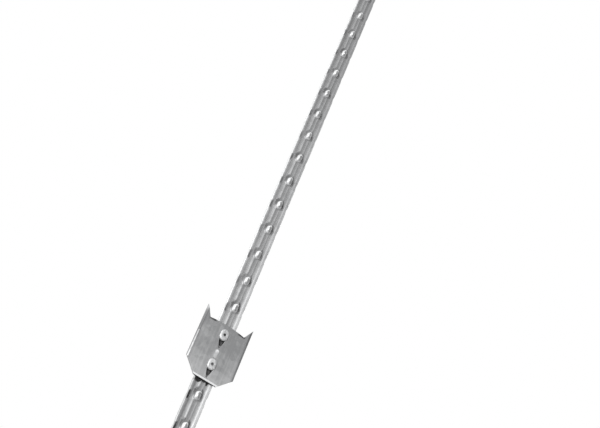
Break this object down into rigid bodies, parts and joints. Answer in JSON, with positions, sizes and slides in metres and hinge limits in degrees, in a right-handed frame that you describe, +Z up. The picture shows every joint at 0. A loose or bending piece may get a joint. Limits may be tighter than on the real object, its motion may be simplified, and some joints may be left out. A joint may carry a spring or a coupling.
{
  "type": "studded t fence post",
  "caption": "Galvanised rolled steel T post with a row of studs along its fluted front and an eared anchor plate peened on near its foot.",
  "frame": {"origin": "on the foot face of the post, at the back of the flange in the middle of its width", "axes": "+Z up the post, -Y out of the studded front, +Y along the stem, +X across the flange"},
  "size_m": [0.088, 0.0414, 1.829],
  "materials": {
    "post_zinc": "hot-dip galvanised, satin grey",
    "plate_zinc": "hot-dip galvanised, satin grey"
  },
  "bodies": {
    "root": {"post": "post_zinc", "anchor_plate": "plate_zinc"}
  },
  "joints": []
}
